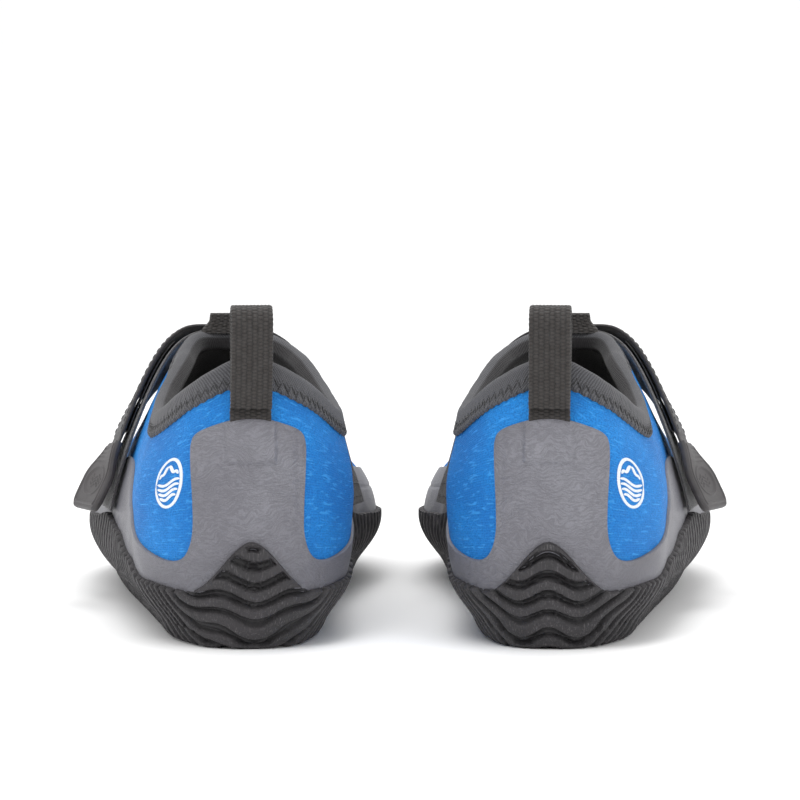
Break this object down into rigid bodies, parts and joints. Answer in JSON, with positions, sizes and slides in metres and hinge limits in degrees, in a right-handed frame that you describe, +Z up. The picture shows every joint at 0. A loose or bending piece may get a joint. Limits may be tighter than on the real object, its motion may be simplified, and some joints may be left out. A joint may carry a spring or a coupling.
{
  "type": "pair of neoprene water shoes",
  "caption": "Low-cut neoprene water shoes with a wavy ribbed rubber sole, moulded heel patch, instep strap through a side ring, and pull loops.",
  "frame": {"origin": "on the floor, midway between the two shoes, at the middle of their length and of their width", "axes": "+Y towards the toes, +X towards the right foot's shoe, +Z up; the heels face -Y"},
  "size_m": [0.222, 0.2789, 0.11],
  "materials": {
    "rubber_sole": "moulded, wavy ribs",
    "foam": "closed-cell foam",
    "board": "stitched non-woven board",
    "footbed": "jersey over foam",
    "lining": "smooth nylon jersey",
    "neoprene": "nylon-faced neoprene, fine knit",
    "overlay": "moulded synthetic, fine wrinkle grain",
    "binding": "stretch knit tape",
    "thread": "twisted polyester",
    "print": null,
    "webbing": "woven polyester",
    "loop_tape": "brushed loop pile",
    "ring": "moulded acetal",
    "strap": "woven strap, soft back",
    "hook": "hook tape",
    "tab": "soft moulded rubber"
  },
  "bodies": {
    "left_shoe": {"left_outsole": "rubber_sole", "left_midsole": "foam", "left_insole_board": "board", "left_footbed": "footbed", "left_lining": "lining", "left_quarter_lateral": "neoprene", "left_quarter_medial": "neoprene", "left_vamp": "neoprene", "left_heel_overlay": "overlay", "left_toe_overlay": "overlay", "left_collar_binding": "binding", "left_binding_stitch": "thread", "left_side_print": "print", "left_closure_strap": "loop_tape", "left_ring_anchor": "webbing"},
    "left_ring": {"left_ring_frame": "ring"},
    "left_strap": {"left_instep_strap": "strap", "left_hook_pad": "hook"},
    "left_pull_tab": {"left_strap_tab": "tab"},
    "left_loop": {"left_heel_loop": "webbing"},
    "left_tongue_tab": {"left_front_tab": "webbing"},
    "right_shoe": {"right_outsole": "rubber_sole", "right_midsole": "foam", "right_insole_board": "board", "right_footbed": "footbed", "right_lining": "lining", "right_quarter_lateral": "neoprene", "right_quarter_medial": "neoprene", "right_vamp": "neoprene", "right_heel_overlay": "overlay", "right_toe_overlay": "overlay", "right_collar_binding": "binding", "right_binding_stitch": "thread", "right_side_print": "print", "right_closure_strap": "loop_tape", "right_ring_anchor": "webbing"},
    "right_ring": {"right_ring_frame": "ring"},
    "right_strap": {"right_instep_strap": "strap", "right_hook_pad": "hook"},
    "right_pull_tab": {"right_strap_tab": "tab"},
    "right_loop": {"right_heel_loop": "webbing"},
    "right_tongue_tab": {"right_front_tab": "webbing"}
  },
  "joints": [
    {"name": "pair_spread", "type": "slide", "parent": "left_shoe", "child": "right_shoe", "axis": [1, 0, 0], "range_m": [0, 0.12]},
    {"name": "left_heel_loop_fold", "type": "hinge", "parent": "left_shoe", "child": "left_loop", "pos_m": [-0.04708, -0.1348, 0.0734], "axis": [0.9962, 0.0872, 0], "range_deg": [0, 75], "stiffness_Nm_per_rad": 0.01},
    {"name": "left_front_tab_fold", "type": "hinge", "parent": "left_shoe", "child": "left_tongue_tab", "pos_m": [-0.05742, -0.01656, 0.0946], "axis": [-0.9962, -0.0872, 0], "range_deg": [-45, 35], "stiffness_Nm_per_rad": 0.01},
    {"name": "left_ring_swing", "type": "hinge", "parent": "left_shoe", "child": "left_ring", "pos_m": [-0.02483, -0.00161, 0.06525], "axis": [0.1347, 0.9111, -0.3895], "range_deg": [0, 25]},
    {"name": "left_strap_open", "type": "hinge", "parent": "left_ring", "child": "left_strap", "pos_m": [-0.02872, 0.00144, 0.07103], "axis": [0.1347, 0.9111, -0.3895], "range_deg": [0, 80]},
    {"name": "left_tab_lift", "type": "hinge", "parent": "left_strap", "child": "left_pull_tab", "pos_m": [-0.09671, -0.01242, 0.05544], "axis": [-0.1585, 0.9775, -0.1391], "range_deg": [0, 60], "stiffness_Nm_per_rad": 0.02},
    {"name": "right_heel_loop_fold", "type": "hinge", "parent": "right_shoe", "child": "right_loop", "pos_m": [0.04708, -0.1348, 0.0734], "axis": [0.9962, -0.0872, 0], "range_deg": [0, 75], "stiffness_Nm_per_rad": 0.01},
    {"name": "right_front_tab_fold", "type": "hinge", "parent": "right_shoe", "child": "right_tongue_tab", "pos_m": [0.05742, -0.01656, 0.0946], "axis": [-0.9962, 0.0872, 0], "range_deg": [-45, 35], "stiffness_Nm_per_rad": 0.01},
    {"name": "right_ring_swing", "type": "hinge", "parent": "right_shoe", "child": "right_ring", "pos_m": [0.02483, -0.00161, 0.06525], "axis": [0.1347, -0.9111, 0.3895], "range_deg": [0, 25]},
    {"name": "right_strap_open", "type": "hinge", "parent": "right_ring", "child": "right_strap", "pos_m": [0.02872, 0.00144, 0.07103], "axis": [0.1347, -0.9111, 0.3895], "range_deg": [0, 80]},
    {"name": "right_tab_lift", "type": "hinge", "parent": "right_strap", "child": "right_pull_tab", "pos_m": [0.09671, -0.01242, 0.05544], "axis": [-0.1585, -0.9775, 0.1391], "range_deg": [0, 60], "stiffness_Nm_per_rad": 0.02}
  ]
}
